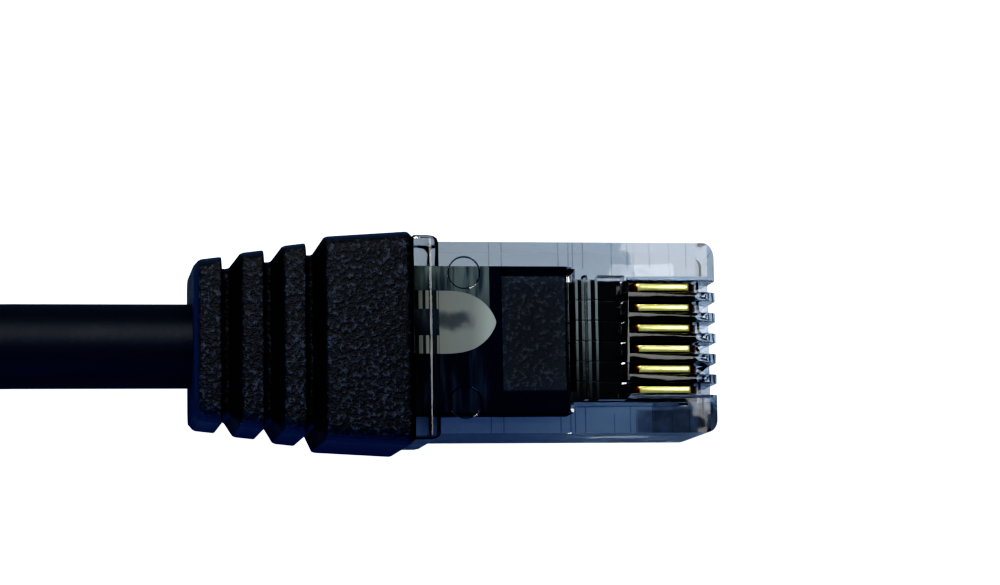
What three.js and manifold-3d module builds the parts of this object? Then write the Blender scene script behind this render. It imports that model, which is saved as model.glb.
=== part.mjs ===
// Programming cable: a clear six-contact modular plug, a ribbed moulded boot and a round lead
// that ends in a type-A plug. Millimetres, +Z up. The modular plug points along +X with its
// contacts upward, and the origin lies on the floor under the middle of the plug and boot.
import * as THREE from 'three';
import { mergeVertices } from 'three/addons/utils/BufferGeometryUtils.js';
import Module from 'manifold-3d';

// Overall lengths along X
const bootLength = 10.6;
const plugLength = 15.1;
const bootRear = -(bootLength + plugLength) / 2;
const bootFront = bootRear + bootLength;
const nose = bootFront + plugLength;

// Clear plug body
const bodyWidth = 9.4;
const bodyHeight = 6.6;
const bodyBottom = 2.4;
const bodyTop = bodyBottom + bodyHeight;
const noseCornerRadius = 0.7;
const noseTopChamfer = 0.45;
const noseBottomChamfer = 0.15;
const collarLength = 1.25;
const collarLip = 0.3;
const collarShoulder = 0.5;
const collarShoulderSteps = 3;
const bodyRear = bootFront + collarLength;

// Hollow inside the plug body, filled by the boot's compound
const sideWall = 1.1;
const bottomWall = 1.2;
const topWall = 1.5;
const cavityLength = 8;
const cavityHalfWidth = bodyWidth / 2 - sideWall;
const cavityFloor = bodyBottom + bottomWall;
const cavityRoof = bodyTop - topWall;
const cavityFront = bootFront + cavityLength;

// Strain relief window in the top wall, its sides drafted
const windowSetback = 4.35;
const windowLength = 3.65;
const windowWidth = 5.7;
const windowShift = 0.35;
const windowDraft = 0.17;

// Ejector pin marks on the top wall behind the window
const pinMarkDiameter = 1.6;
const pinMarkDepth = 0.08;
const pinMarkSpread = 6.35;
const pinMarkSetback = 2.5;

// Cross slit and conductor clamp recess between the window and the contacts
const crossBar = 0.42;
const slitLength = 0.2;
const slitDepth = 1;
const clampBar = 0.5;
const clampLength = 1.35;
const clampDepth = 1.2;
const clampWall = 0.2;
const slitRear = cavityFront + crossBar;
const clampRear = slitRear + slitLength + clampBar;
const combRear = clampRear + clampLength + clampWall;

// Contacts, one in each slot of the comb
const contactCount = 6;
const contactPitch = 1.016;
const bladeThickness = 0.35;
const bladeLength = 3.4;
const bladeSetback = 0.1;
const bladeSink = 0.42;
const bladeShoulder = 0.55;
const toothLength = 0.8;
const toothInset = 0.5;
const toothBite = 0.7;
const slotWidth = 0.56;
const slotDepth = 2;
const bladeRear = combRear + bladeSetback;
const bladeFront = bladeRear + bladeLength;
const bladeTop = bodyTop - bladeSink;

// Conductors under the contacts, side by side in one channel
const conductorDiameter = 0.95;
const conductorSides = 12;
const channelClearance = 0.05;
const channelDrop = 2.65;
const conductorOverrun = 0.2;
const channelTop = bodyTop - channelDrop;
const channelFloor = channelTop - conductorDiameter - 2 * channelClearance;
const channelHalfWidth = ((contactCount - 1) * contactPitch + conductorDiameter) / 2 + channelClearance;
const conductorFront = bladeFront + conductorOverrun;
const conductorHeight = (channelTop + channelFloor) / 2;

// Latch lever, moulded with the body under its nose
const latchWidth = 3.2;
const latchThickness = 1.1;
const latchShoulderWidth = 6;
const latchShoulderLength = 4.2;
const latchRootLength = 1.6;
const latchRootSetback = 0.7;
const latchTipGap = 0.6;
const latchLift = 0.15;

// Pale pre-moulded tongue that holds the stripped cable end
const fillerWidth = 3.12;
const fillerTipWidth = 1.5;
const fillerReach = 4.2;
const fillerThickness = 1;
const fillerShift = 0.84;
const fillerFork = 1.3;
const fillerClearance = 0.3;

// Moulded boot: a block, then three ribs that get smaller towards the cable
const blockWidth = 10.55;
const blockHeight = 9.4;
const blockLength = 4.24;
const blockTaper = 0.27;
const cornerShare = 0.17;
const ribSlope = 0.6;
const ribFloor = 0.36;
const ribLength = 1.07;
const ribs = [
  { halfWidth: 4.65, low: 0.45, high: 8.9 },
  { halfWidth: 4.33, low: 0.75, high: 8.65 },
  { halfWidth: 4.03, low: 1, high: 8.4 },
];
const grooveDepth = 0.5;
const ribEdge = 0.22;

// Cable, its stored hank and the tie
const cableDiameter = 4.2;
const cableHeight = 4.7;
const cableGap = 0.3;
const cableSides = 10;
const hankCentre = -96;
const hankTurnsWide = 2;
const hankTurnsHigh = 2;
const hankLoopRadius = 3 * cableDiameter;
const hankWaistRadius = 4.5 * cableDiameter;
const hankStraight = 28;
const tieLength = 6;
const tieThickness = 1;

// Type-A plug at the far end, lying on the hank
const usbShellWidth = 12;
const usbShellHeight = 4.5;
const usbShellLength = 18.75;
const usbShellWall = 0.35;
const usbGripWidth = 15.6;
const usbGripHeight = 7.8;
const usbGripLength = 25;
const usbGripTaper = 0.7;
const usbReliefLength = 8.5;
const usbReliefDiameter = 6.4;
const usbTongueThickness = 1.85;
const usbTongueSetback = 0.6;
const usbWindow = 2.3;
const usbWindowSpacing = 5.2;
const usbWindowSetback = 5.2;
const usbContactPlaces = [-3.5, -1, 1, 3.5];
const usbContactWidth = 1.1;
const usbContactLength = 8;
const usbContactThickness = 0.12;
const usbRear = hankCentre + 4;
const usbAxis = cableDiameter * hankTurnsHigh + cableGap + usbGripHeight / 2;

// Margin by which a cutting tool passes the face that it opens
const past = 1;

const wasm = await Module();
wasm.setup();

function solidFrom(geometry) {
  const bare = geometry.clone();
  bare.deleteAttribute('normal');
  bare.deleteAttribute('uv');
  const merged = mergeVertices(bare);
  const mesh = new wasm.Mesh({
    numProp: 3,
    vertProperties: Float32Array.from(merged.attributes.position.array),
    triVerts: Uint32Array.from(merged.index.array),
  });
  return new wasm.Manifold(mesh);
}

function geometryFrom(solid) {
  const mesh = solid.getMesh();
  const geometry = new THREE.BufferGeometry();
  geometry.setAttribute('position', new THREE.BufferAttribute(mesh.vertProperties, 3));
  geometry.setIndex(new THREE.BufferAttribute(mesh.triVerts, 1));
  geometry.computeVertexNormals();
  return geometry;
}

function joined(...geometries) {
  return geometryFrom(geometries.map(solidFrom).reduce((sum, solid) => sum.add(solid)));
}

function common(...geometries) {
  return geometryFrom(geometries.map(solidFrom).reduce((sum, solid) => sum.intersect(solid)));
}

function cut(geometry, ...tools) {
  return geometryFrom(tools.map(solidFrom).reduce((rest, tool) => rest.subtract(tool), solidFrom(geometry)));
}

// A box given by its two ends along each axis
function block([x0, x1], [y0, y1], [z0, z1]) {
  const box = new THREE.BoxGeometry(x1 - x0, y1 - y0, z1 - z0);
  return box.translate((x0 + x1) / 2, (y0 + y1) / 2, (z0 + z1) / 2);
}

function outline(points) {
  return new THREE.Shape(points.map(([a, b]) => new THREE.Vector2(a, b)));
}

// A side outline in X and Z, extruded across the part
function acrossPart(points, width) {
  const plate = new THREE.ExtrudeGeometry(outline(points), { depth: width, bevelEnabled: false });
  return plate.rotateX(Math.PI / 2).translate(0, width / 2, 0);
}

// A plan outline in X and Y, extruded upward
function upright(shape, [low, high], curveSegments = 6) {
  const plate = new THREE.ExtrudeGeometry(shape, { depth: high - low, bevelEnabled: false, curveSegments });
  return plate.translate(0, 0, low);
}

// A rounded block whose half width and height follow a list of stations along X
function lofted(stations, rounding) {
  const r = rounding;
  const section = new THREE.Shape();
  section.moveTo(1 - r, -1);
  section.absarc(1 - r, r - 1, r, -Math.PI / 2, 0);
  section.absarc(1 - r, 1 - r, r, 0, Math.PI / 2);
  section.absarc(r - 1, 1 - r, r, Math.PI / 2, Math.PI);
  section.absarc(r - 1, r - 1, r, Math.PI, 1.5 * Math.PI);
  const steps = stations.length - 1;
  const body = new THREE.ExtrudeGeometry(section, { depth: steps, steps, bevelEnabled: false, curveSegments: 5 });
  const place = body.attributes.position;
  for (let i = 0; i < place.count; i += 1) {
    const station = stations[Math.round(place.getZ(i))];
    const middle = (station.low + station.high) / 2;
    const half = (station.high - station.low) / 2;
    place.setXYZ(i, station.x, place.getX(i) * station.halfWidth, middle + place.getY(i) * half);
  }
  return body;
}

// A round tube along a smooth curve through the given points
function tube(points, diameter, stepsPerPoint) {
  const curve = new THREE.CatmullRomCurve3(points.map((p) => new THREE.Vector3(...p)));
  const section = new THREE.Shape();
  for (let i = 0; i < cableSides; i += 1) {
    const turn = ((i + 0.5) / cableSides) * 2 * Math.PI;
    const [a, b] = [(diameter / 2) * Math.cos(turn), (diameter / 2) * Math.sin(turn)];
    if (i === 0) section.moveTo(a, b);
    else section.lineTo(a, b);
  }
  section.closePath();
  const steps = (points.length - 1) * stepsPerPoint;
  return new THREE.ExtrudeGeometry(section, { steps, extrudePath: curve });
}

const cable = new THREE.Group();

function piece(name, geometry, material) {
  const mesh = new THREE.Mesh(geometry, material);
  mesh.name = name;
  cable.add(mesh);
  return mesh;
}

const clearPlastic = new THREE.MeshStandardMaterial({
  color: 0xe6eef5, roughness: 0.08, metalness: 0, transparent: true, opacity: 0.35,
});
const blackPvc = new THREE.MeshStandardMaterial({ color: 0x17181b, roughness: 0.6, metalness: 0 });
const cableJacket = new THREE.MeshStandardMaterial({ color: 0x1b1c1f, roughness: 0.45, metalness: 0 });
const gold = new THREE.MeshStandardMaterial({ color: 0xe8cf86, roughness: 0.22, metalness: 1 });
const palePlastic = new THREE.MeshStandardMaterial({ color: 0xc9c0ae, roughness: 0.6, metalness: 0 });
const wireBlack = new THREE.MeshStandardMaterial({ color: 0x1d1d20, roughness: 0.5, metalness: 0 });
const nickel = new THREE.MeshStandardMaterial({ color: 0xc6c8ca, roughness: 0.28, metalness: 1 });
const whitePlastic = new THREE.MeshStandardMaterial({ color: 0xe4e4e0, roughness: 0.5, metalness: 0 });

const contactRows = Array.from({ length: contactCount }, (_, i) => ((contactCount - 1) / 2 - i) * contactPitch);

// The plug body: rounded nose corners, a chamfered nose and a collar with a round shoulder at its mouth
function plugBody() {
  const side = acrossPart([
    [bodyRear, bodyBottom], [nose - noseBottomChamfer, bodyBottom], [nose, bodyBottom + noseBottomChamfer],
    [nose, bodyTop - noseTopChamfer], [nose - noseTopChamfer, bodyTop], [bodyRear, bodyTop],
  ], bodyWidth);
  const r = noseCornerRadius;
  const half = bodyWidth / 2;
  const plan = new THREE.Shape();
  plan.moveTo(bodyRear, half);
  plan.lineTo(bodyRear, -half);
  plan.absarc(nose - r, r - half, r, -Math.PI / 2, 0);
  plan.absarc(nose - r, half - r, r, 0, Math.PI / 2);
  const body = common(side, upright(plan, [bodyBottom - past, bodyTop + past]));
  const rim = (x, lip) => ({ x, halfWidth: half + lip, low: bodyBottom - lip, high: bodyTop + lip });
  const stations = [rim(bootFront, collarLip)];
  for (let i = 0; i <= collarShoulderSteps; i += 1) {
    const turn = (i / collarShoulderSteps) * (Math.PI / 2);
    stations.push(rim(bodyRear - collarShoulder * (1 - Math.sin(turn)), collarLip * Math.cos(turn)));
  }
  stations.push(rim(bodyRear + collarShoulder, 0));
  const collar = lofted(stations, 0.04);
  return joined(body, collar);
}

// The latch: a narrow lever that slopes down to the rear, with a wider locking step at its root
function latchLever() {
  const rootFront = nose - latchRootSetback;
  const rootRear = rootFront - latchRootLength;
  const tip = bootFront + latchTipGap;
  const lever = acrossPart([
    [rootFront, bodyBottom - 0.1], [rootFront - 0.4, bodyBottom - 0.55], [tip, latchLift],
    [tip, latchLift + latchThickness], [rootRear, bodyBottom - 0.12], [rootRear, bodyBottom + 0.3],
    [rootFront, bodyBottom + 0.3],
  ], latchWidth);
  const stepRear = rootRear - latchShoulderLength;
  const slope = (bodyBottom - 0.55 - latchLift) / (rootFront - 0.4 - tip);
  const drop = (x) => bodyBottom - 0.55 - slope * (rootFront - 0.4 - x);
  const step = acrossPart([
    [rootFront, bodyBottom - 0.1], [rootFront - 0.4, drop(rootFront - 0.4)], [stepRear, drop(stepRear)],
    [stepRear, drop(stepRear) + latchThickness * 0.9], [rootRear, bodyBottom - 0.12],
    [rootRear, bodyBottom + 0.3], [rootFront, bodyBottom + 0.3],
  ], latchShoulderWidth);
  return joined(lever, step);
}

// Everything that is open in the plug body
function plugOpenings() {
  const openings = [];
  openings.push(block([bootFront - past, cavityFront], [-cavityHalfWidth, cavityHalfWidth],
    [cavityFloor, cavityRoof]));
  const mouth = windowWidth / 2;
  const windowRear = bootFront + windowSetback;
  const sloped = new THREE.Shape();
  const rise = windowDraft * (topWall + past) / topWall;
  sloped.moveTo(-mouth, cavityRoof);
  sloped.lineTo(mouth, cavityRoof);
  sloped.lineTo(mouth + rise, bodyTop + past);
  sloped.lineTo(-mouth - rise, bodyTop + past);
  const reliefWindow = new THREE.ExtrudeGeometry(sloped, { depth: windowLength, bevelEnabled: false });
  reliefWindow.rotateX(Math.PI / 2).rotateZ(Math.PI / 2).translate(windowRear, windowShift, 0);
  openings.push(reliefWindow);
  for (const y of [-pinMarkSpread / 2, pinMarkSpread / 2]) {
    const mark = new THREE.CylinderGeometry(pinMarkDiameter / 2, pinMarkDiameter / 2, 2 * pinMarkDepth, 24);
    openings.push(mark.rotateX(Math.PI / 2).translate(bootFront + pinMarkSetback, y, bodyTop));
  }
  openings.push(block([slitRear, slitRear + slitLength], [-channelHalfWidth, channelHalfWidth],
    [bodyTop - slitDepth, bodyTop + past]));
  openings.push(block([clampRear, clampRear + clampLength], [-channelHalfWidth, channelHalfWidth],
    [bodyTop - clampDepth, bodyTop + past]));
  openings.push(block([cavityFront - past, conductorFront], [-channelHalfWidth, channelHalfWidth],
    [channelFloor, channelTop]));
  for (const y of contactRows) {
    openings.push(block([combRear, nose + past], [y - slotWidth / 2, y + slotWidth / 2],
      [bodyTop - slotDepth, bodyTop + past]));
    openings.push(block([bladeRear, bladeFront], [y - bladeThickness / 2, y + bladeThickness / 2],
      [channelTop - channelClearance, bodyTop]));
  }
  return openings;
}

piece('plug_housing', cut(joined(plugBody(), latchLever()), ...plugOpenings()), clearPlastic);

// Teeth of a contact, as ranges along X
const teeth = [
  [bladeRear + toothInset, bladeRear + toothInset + toothLength],
  [bladeFront - toothInset - toothLength, bladeFront - toothInset],
];
const toothFoot = channelTop - toothBite;

// A contact blade: flat on top with round shoulders, and two teeth that pierce the conductor
function contactBlade(y) {
  const blade = new THREE.Shape();
  blade.moveTo(bladeRear, channelTop);
  for (const [from, to] of teeth) {
    blade.lineTo(from, channelTop);
    blade.lineTo(from, toothFoot);
    blade.lineTo(to, toothFoot);
    blade.lineTo(to, channelTop);
  }
  blade.lineTo(bladeFront, channelTop);
  blade.lineTo(bladeFront, bladeTop - bladeShoulder);
  blade.absarc(bladeFront - bladeShoulder, bladeTop - bladeShoulder, bladeShoulder, 0, Math.PI / 2);
  blade.absarc(bladeRear + bladeShoulder, bladeTop - bladeShoulder, bladeShoulder, Math.PI / 2, Math.PI);
  blade.lineTo(bladeRear, channelTop);
  const plate = new THREE.ExtrudeGeometry(blade, {
    depth: bladeThickness, bevelEnabled: false, curveSegments: 5,
  });
  return plate.rotateX(Math.PI / 2).translate(0, y + bladeThickness / 2, 0);
}

// An insulated conductor, slit where the contact's teeth stand in it
function conductor(y) {
  const length = conductorFront - cavityFront;
  const wire = new THREE.CylinderGeometry(
    conductorDiameter / 2, conductorDiameter / 2, length, conductorSides,
  );
  wire.rotateZ(Math.PI / 2).translate(cavityFront + length / 2, y, conductorHeight);
  const slits = teeth.map((tooth) => block(tooth, [y - bladeThickness / 2, y + bladeThickness / 2],
    [toothFoot, channelTop + past]));
  return cut(wire, ...slits);
}

contactRows.forEach((y, i) => {
  piece(`contact_${i + 1}`, contactBlade(y), gold);
  piece(`conductor_${i + 1}`, conductor(y), wireBlack);
});

// Plan outline of the pale tongue, grown on all sides by a clearance, with a fork in its root
function tongueOutline(clearance, forked) {
  const root = fillerWidth / 2 + clearance;
  const tip = fillerTipWidth / 2 + clearance;
  const end = bootFront + fillerReach + clearance;
  const shape = new THREE.Shape();
  shape.moveTo(bootFront, -root);
  shape.lineTo(bootFront + fillerReach / 2, -root);
  shape.lineTo(end - tip, -tip);
  shape.absarc(end - tip, 0, tip, -Math.PI / 2, Math.PI / 2);
  shape.lineTo(bootFront + fillerReach / 2, root);
  shape.lineTo(bootFront, root);
  if (forked) {
    shape.lineTo(bootFront, fillerFork / 2);
    shape.lineTo(bodyRear, fillerFork / 2);
    shape.lineTo(bodyRear, -fillerFork / 2);
    shape.lineTo(bootFront, -fillerFork / 2);
  }
  return shape;
}

const fillerFloor = cavityRoof - fillerThickness;
piece('inner_filler', upright(tongueOutline(0, true), [fillerFloor, cavityRoof]).translate(0, fillerShift, 0),
  palePlastic);

// The boot: block and ribs outside the plug, and the compound that fills the plug's hollow
function mouldedBoot() {
  const half = blockWidth / 2;
  const stations = [
    { x: bootFront, halfWidth: half - ribEdge, low: ribEdge, high: blockHeight - ribEdge },
    { x: bootFront - ribEdge, halfWidth: half, low: 0, high: blockHeight },
    { x: bootFront - blockLength, halfWidth: half - blockTaper, low: 0, high: blockHeight - blockTaper },
  ];
  let from = bootFront - blockLength;
  for (const { halfWidth, low, high } of ribs) {
    const floor = { halfWidth: halfWidth - grooveDepth, low: low + grooveDepth, high: high - grooveDepth };
    const face = from - ribSlope - ribFloor;
    stations.push({ x: from - ribSlope, ...floor });
    stations.push({ x: face, ...floor });
    stations.push({ x: face - ribEdge / 4, halfWidth: halfWidth - ribEdge / 4, low: low + ribEdge / 4,
      high: high - ribEdge / 4 });
    stations.push({ x: face - ribEdge, halfWidth, low, high });
    stations.push({ x: face - ribLength, halfWidth, low, high });
    from = face - ribLength;
  }
  const last = ribs[ribs.length - 1];
  stations.push({ x: bootRear, halfWidth: last.halfWidth - ribEdge, low: last.low + ribEdge,
    high: last.high - ribEdge });
  const outside = lofted(stations.reverse(), cornerShare);
  const core = block([bootFront - past, cavityFront], [-cavityHalfWidth, cavityHalfWidth],
    [cavityFloor, cavityRoof]);
  const seat = upright(tongueOutline(fillerClearance, false), [fillerFloor - fillerClearance, cavityRoof + past]);
  return cut(joined(outside, core), seat.translate(0, fillerShift, 0));
}

piece('moulded_boot', mouldedBoot(), blackPvc);

// Shape of the hank: two round loops joined by a narrow waist, all around the same six centres
const waistHalf = hankTurnsWide * cableDiameter;
const waistCentre = cableDiameter / 2 + hankWaistRadius;
const loopReach = Math.sqrt((hankLoopRadius + hankWaistRadius) ** 2 - waistCentre ** 2);
const loopCentre = hankStraight / 2 + loopReach;
const loopOutside = hankLoopRadius + waistHalf - cableDiameter / 2;
const waistOutside = waistCentre - waistHalf;
const swing = Math.atan2(waistCentre, loopReach);
const hankTop = hankTurnsHigh * cableDiameter;

function hankOutline() {
  const shape = new THREE.Shape();
  shape.absarc(loopCentre, 0, loopOutside, swing - Math.PI, Math.PI - swing, false);
  shape.absarc(hankStraight / 2, waistCentre, waistOutside, -swing, -Math.PI / 2, true);
  shape.absarc(-hankStraight / 2, waistCentre, waistOutside, -Math.PI / 2, swing - Math.PI, true);
  shape.absarc(-loopCentre, 0, loopOutside, swing, 2 * Math.PI - swing, false);
  shape.absarc(-hankStraight / 2, -waistCentre, waistOutside, Math.PI - swing, Math.PI / 2, true);
  shape.absarc(hankStraight / 2, -waistCentre, waistOutside, Math.PI / 2, swing, true);
  return shape;
}

piece('cable_hank', upright(hankOutline(), [0, hankTop], 16).translate(hankCentre, 0, 0), cableJacket);

// The cable from the boot to the hank: straight out, down to the floor, then sideways to the loop
const leadPoints = [
  [bootRear - cableGap, 0, cableHeight],
  [-17, 0, cableHeight],
  [-21.5, 0, cableHeight],
  [-25.5, 0, 4.64],
  [-29, 0.2, 4.37],
  [-32.5, 1.1, 3.96],
  [-35.5, 2.4, 3.54],
  [-38, 4, 3.18],
];

piece('cable_lead', tube(leadPoints, cableDiameter, 1), cableJacket);

// The last stretch of the cable, rising over the hank to the type-A plug
const tailPoints = [
  [hankCentre - 14, -5.9, 11.6],
  [hankCentre - 10, -3.4, 12.06],
  [hankCentre - 6, -1.65, 12.37],
  [hankCentre - 2, -0.55, 12.54],
  [usbRear - cableGap - 1.5, -0.05, usbAxis],
  [usbRear - cableGap, 0, usbAxis],
];

piece('cable_tail', tube(tailPoints, cableDiameter, 1), cableJacket);

// A strap round the waist of the hank
function hankTie() {
  const inner = [[-tieLength / 2 - past, tieLength / 2 + past], [-waistHalf - cableGap, waistHalf + cableGap],
    [-past, hankTop + cableGap]];
  const wide = waistHalf + cableGap + tieThickness;
  const band = block([-tieLength / 2, tieLength / 2], [-wide, wide], [0, hankTop + cableGap + tieThickness]);
  return cut(band, block(...inner)).translate(hankCentre, 0, 0);
}

piece('hank_tie', hankTie(), blackPvc);

// The type-A plug: a moulded grip with its strain relief, a folded shell, a tongue and four contacts
const gripRear = usbRear + usbReliefLength;
const gripFront = gripRear + usbGripLength;
const shellFront = gripFront + usbShellLength;

function centred(x, width, height) {
  return { x, halfWidth: width / 2, low: usbAxis - height / 2, high: usbAxis + height / 2 };
}

function usbGrip() {
  const narrow = 2 * usbGripTaper;
  const grip = lofted([
    centred(gripRear, usbGripWidth - 3 * narrow, usbGripHeight - narrow),
    centred(gripRear + usbGripTaper, usbGripWidth - 2 * narrow, usbGripHeight),
    centred(gripRear + 6 * usbGripTaper, usbGripWidth - narrow / 2, usbGripHeight),
    centred(gripFront - usbGripTaper, usbGripWidth, usbGripHeight),
    centred(gripFront, usbGripWidth - narrow, usbGripHeight - narrow),
  ], 0.3);
  const relief = lofted([
    centred(usbRear, usbReliefDiameter, usbReliefDiameter),
    centred(gripRear + past, usbReliefDiameter, usbReliefDiameter),
  ], 0.9);
  return joined(grip, relief);
}

piece('usb_overmould', usbGrip(), blackPvc);

function usbShell() {
  const half = usbShellWidth / 2;
  const rise = usbShellHeight / 2;
  const outside = block([gripFront, shellFront], [-half, half], [usbAxis - rise, usbAxis + rise]);
  const inside = block([gripFront - past, shellFront + past], [usbShellWall - half, half - usbShellWall],
    [usbAxis - rise + usbShellWall, usbAxis + rise - usbShellWall]);
  const windows = [-1, 1].map((way) => {
    const y = (way * usbWindowSpacing) / 2;
    const x = shellFront - usbWindowSetback;
    return block([x - usbWindow, x], [y - usbWindow / 2, y + usbWindow / 2],
      [usbAxis - usbShellHeight, usbAxis + usbShellHeight]);
  });
  return cut(outside, inside, ...windows);
}

piece('usb_shell', usbShell(), nickel);

const tongueTop = usbAxis - usbShellHeight / 2 + usbShellWall + usbTongueThickness;
const tongueHalf = usbShellWidth / 2 - usbShellWall;
piece('usb_tongue', block([gripFront, shellFront - usbTongueSetback], [-tongueHalf, tongueHalf],
  [tongueTop - usbTongueThickness, tongueTop]), whitePlastic);

usbContactPlaces.forEach((y, i) => {
  const front = shellFront - 2 * usbTongueSetback;
  piece(`usb_contact_${i + 1}`, block([front - usbContactLength, front],
    [y - usbContactWidth / 2, y + usbContactWidth / 2], [tongueTop, tongueTop + usbContactThickness]), gold);
});

export default cable;
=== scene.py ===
import math

import bmesh
import bpy
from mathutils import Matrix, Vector


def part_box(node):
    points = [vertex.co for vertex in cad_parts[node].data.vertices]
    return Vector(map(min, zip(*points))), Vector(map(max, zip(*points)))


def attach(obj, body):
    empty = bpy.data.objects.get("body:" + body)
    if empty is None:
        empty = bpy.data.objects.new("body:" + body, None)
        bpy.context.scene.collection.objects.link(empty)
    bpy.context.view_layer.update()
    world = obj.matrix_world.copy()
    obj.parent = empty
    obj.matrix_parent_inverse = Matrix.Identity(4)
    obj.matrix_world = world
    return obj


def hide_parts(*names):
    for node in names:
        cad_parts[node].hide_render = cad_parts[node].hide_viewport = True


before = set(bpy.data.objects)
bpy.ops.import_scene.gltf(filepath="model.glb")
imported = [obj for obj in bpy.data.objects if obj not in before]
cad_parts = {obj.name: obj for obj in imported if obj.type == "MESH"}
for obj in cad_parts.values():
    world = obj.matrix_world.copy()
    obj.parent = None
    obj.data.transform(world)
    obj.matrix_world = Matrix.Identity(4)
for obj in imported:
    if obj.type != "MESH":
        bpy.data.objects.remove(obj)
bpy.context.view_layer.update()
scene = bpy.context.scene

# The camera looks down on the contact side of the plug, from a little behind and to the left,
# as it does in the photograph. The long lens keeps the sides of the plug nearly parallel.
MM = 0.001
camera_data = bpy.data.cameras.new("camera")
camera_data.lens = 113.1
camera_data.sensor_width = 36
camera_data.clip_start = 0.01
camera = bpy.data.objects.new("camera", camera_data)
camera.location = Vector((-21.23, -16.52, 159.78)) * MM
camera.rotation_euler = (math.radians(7.135), math.radians(-8.651), math.radians(-0.922))
scene.collection.objects.link(camera)
scene.camera = camera

# The cable is one round cord with a smooth extruded PVC jacket. It leaves the boot, drops to the
# floor and is wound into a hank whose turns lie beside and on each other, then rises to the
# type-A plug that lies on the hank.
CABLE = 4.2 * MM
CABLE_LEVEL_CHANGE = 21 * MM
LANE_CHANGE_SHIFT = 3.5 * MM
BOOT_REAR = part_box("moulded_boot")[0].x
HANK_X = -96 * MM
LOOP_RADIUS = 3 * CABLE
WAIST_RADIUS = 4.5 * CABLE
HALF_STRAIGHT = 14 * MM
ARC_STEP = math.radians(9)


def ease(t):
    t = min(max(t, 0.0), 1.0)
    return t * t * (3 - 2 * t)


def arc(centre, radius, start, end, outward):
    steps = max(2, math.ceil(abs(end - start) / ARC_STEP))
    for i in range(steps):
        turn = start + (end - start) * i / steps
        way = Vector((math.cos(turn), math.sin(turn), 0))
        yield Vector((*centre, 0)) + radius * way, outward * way


def one_turn():
    """The inner lane of the hank from the near loop's top round to it again, with its outward side."""
    waist_y = CABLE / 2 + WAIST_RADIUS
    reach = math.sqrt((LOOP_RADIUS + WAIST_RADIUS) ** 2 - waist_y**2)
    swing = math.atan2(waist_y, reach)
    loop_x = HALF_STRAIGHT + reach
    right, up = HALF_STRAIGHT, waist_y
    quarter = math.pi / 2
    yield from arc((loop_x, 0), LOOP_RADIUS, quarter, math.pi - swing, 1)
    yield from arc((right, up), WAIST_RADIUS, -swing, -quarter, -1)
    yield from ((Vector((right - right * k / 4, CABLE / 2, 0)), Vector((0, 1, 0))) for k in range(8))
    yield from arc((-right, up), WAIST_RADIUS, -quarter, swing - math.pi, -1)
    yield from arc((-loop_x, 0), LOOP_RADIUS, swing, 2 * math.pi - swing, 1)
    yield from arc((-right, -up), WAIST_RADIUS, math.pi - swing, quarter, -1)
    yield from ((Vector((-right + right * k / 6, -CABLE / 2, 0)), Vector((0, -1, 0))) for k in range(12))
    yield from arc((right, -up), WAIST_RADIUS, quarter, swing, -1)
    yield from arc((loop_x, 0), LOOP_RADIUS, swing - math.pi, quarter, 1)


def hank_points():
    """Turns as (lane before, lane after, level before, level after, where the change is centred)."""
    turns = [
        (1, 0, 0, 0, LANE_CHANGE_SHIFT), (0, 0, 0, 1, 0),
        (0, 1, 1, 1, -LANE_CHANGE_SHIFT), (1, 1, 1, 1, 0),
    ]
    for number, (lane, next_lane, level, next_level, middle) in enumerate(turns):
        lower_side = False
        for place, outward in one_turn():
            lower_side = lower_side or (place.x < -HALF_STRAIGHT and place.y < 0)
            if number == len(turns) - 1 and lower_side:
                return
            share = ease((place.x - middle) / CABLE_LEVEL_CHANGE + 0.5) if lower_side else 0
            side = lane + (next_lane - lane) * share
            height = level + (next_level - level) * share
            point = place + outward * CABLE * side
            yield Vector((HANK_X + point.x, point.y, CABLE * (0.5 + height)))


lead_points = [
    (-12.6, 0, 4.7), (-17, 0, 4.7), (-21.5, 0, 4.7), (-25.5, 0, 4.64), (-29, 0.2, 4.37),
    (-32.5, 1.1, 3.96), (-35.5, 2.4, 3.54), (-38, 4, 3.18), (-40, 5.8, 2.9), (-42.25, 8.4, 2.62),
    (-44.5, 11, 2.38), (-47, 13.2, 2.19), (-50, 14.9, 2.1), (-54, 16.3, 2.1),
]
tail_points = [
    (-54.2, -2.5, 6.4), (-52.8, -6.9, 6.65), (-49, -12.2, 7.15), (-43.8, -15.6, 7.7), (-37.5, -16.8, 8.25),
    (-31, -16.05, 9.1), (-25, -14, 10), (-20, -11, 10.7), (-17, -8.5, 11.15), (-14, -5.9, 11.6),
    (-10, -3.4, 12.06), (-6, -1.65, 12.37), (-2, -0.55, 12.54), (2.2, -0.05, 12.6), (3.7, 0, 12.6),
]
route = [Vector(p) * MM for p in lead_points]
route += list(hank_points())
route += [Vector(p) * MM + Vector((HANK_X, 0, 0)) for p in tail_points]


def smooth_line(points, pieces):
    """Points of the curve that passes through all the given ones."""
    line = []
    for i in range(len(points) - 1):
        before, start = points[max(i - 1, 0)], points[i]
        end, after = points[i + 1], points[min(i + 2, len(points) - 1)]
        for k in range(pieces):
            t = k / pieces
            slope = end - before
            bend = 2 * before - 5 * start + 4 * end - after
            twist = 3 * start - before - 3 * end + after
            line.append(0.5 * (2 * start + slope * t + bend * t**2 + twist * t**3))
    return line + [points[-1]]


def cord_curve(name, points, diameter):
    data = bpy.data.curves.new(name, "CURVE")
    data.dimensions = "3D"
    data.bevel_depth = diameter / 2
    data.bevel_resolution = 6
    data.use_fill_caps = True
    spline = data.splines.new("POLY")
    spline.points.add(len(points) - 1)
    for target, point in zip(spline.points, points):
        target.co = (*point, 1)
    spline.use_smooth = True
    piece = bpy.data.objects.new(name, data)
    scene.collection.objects.link(piece)
    return piece


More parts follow.
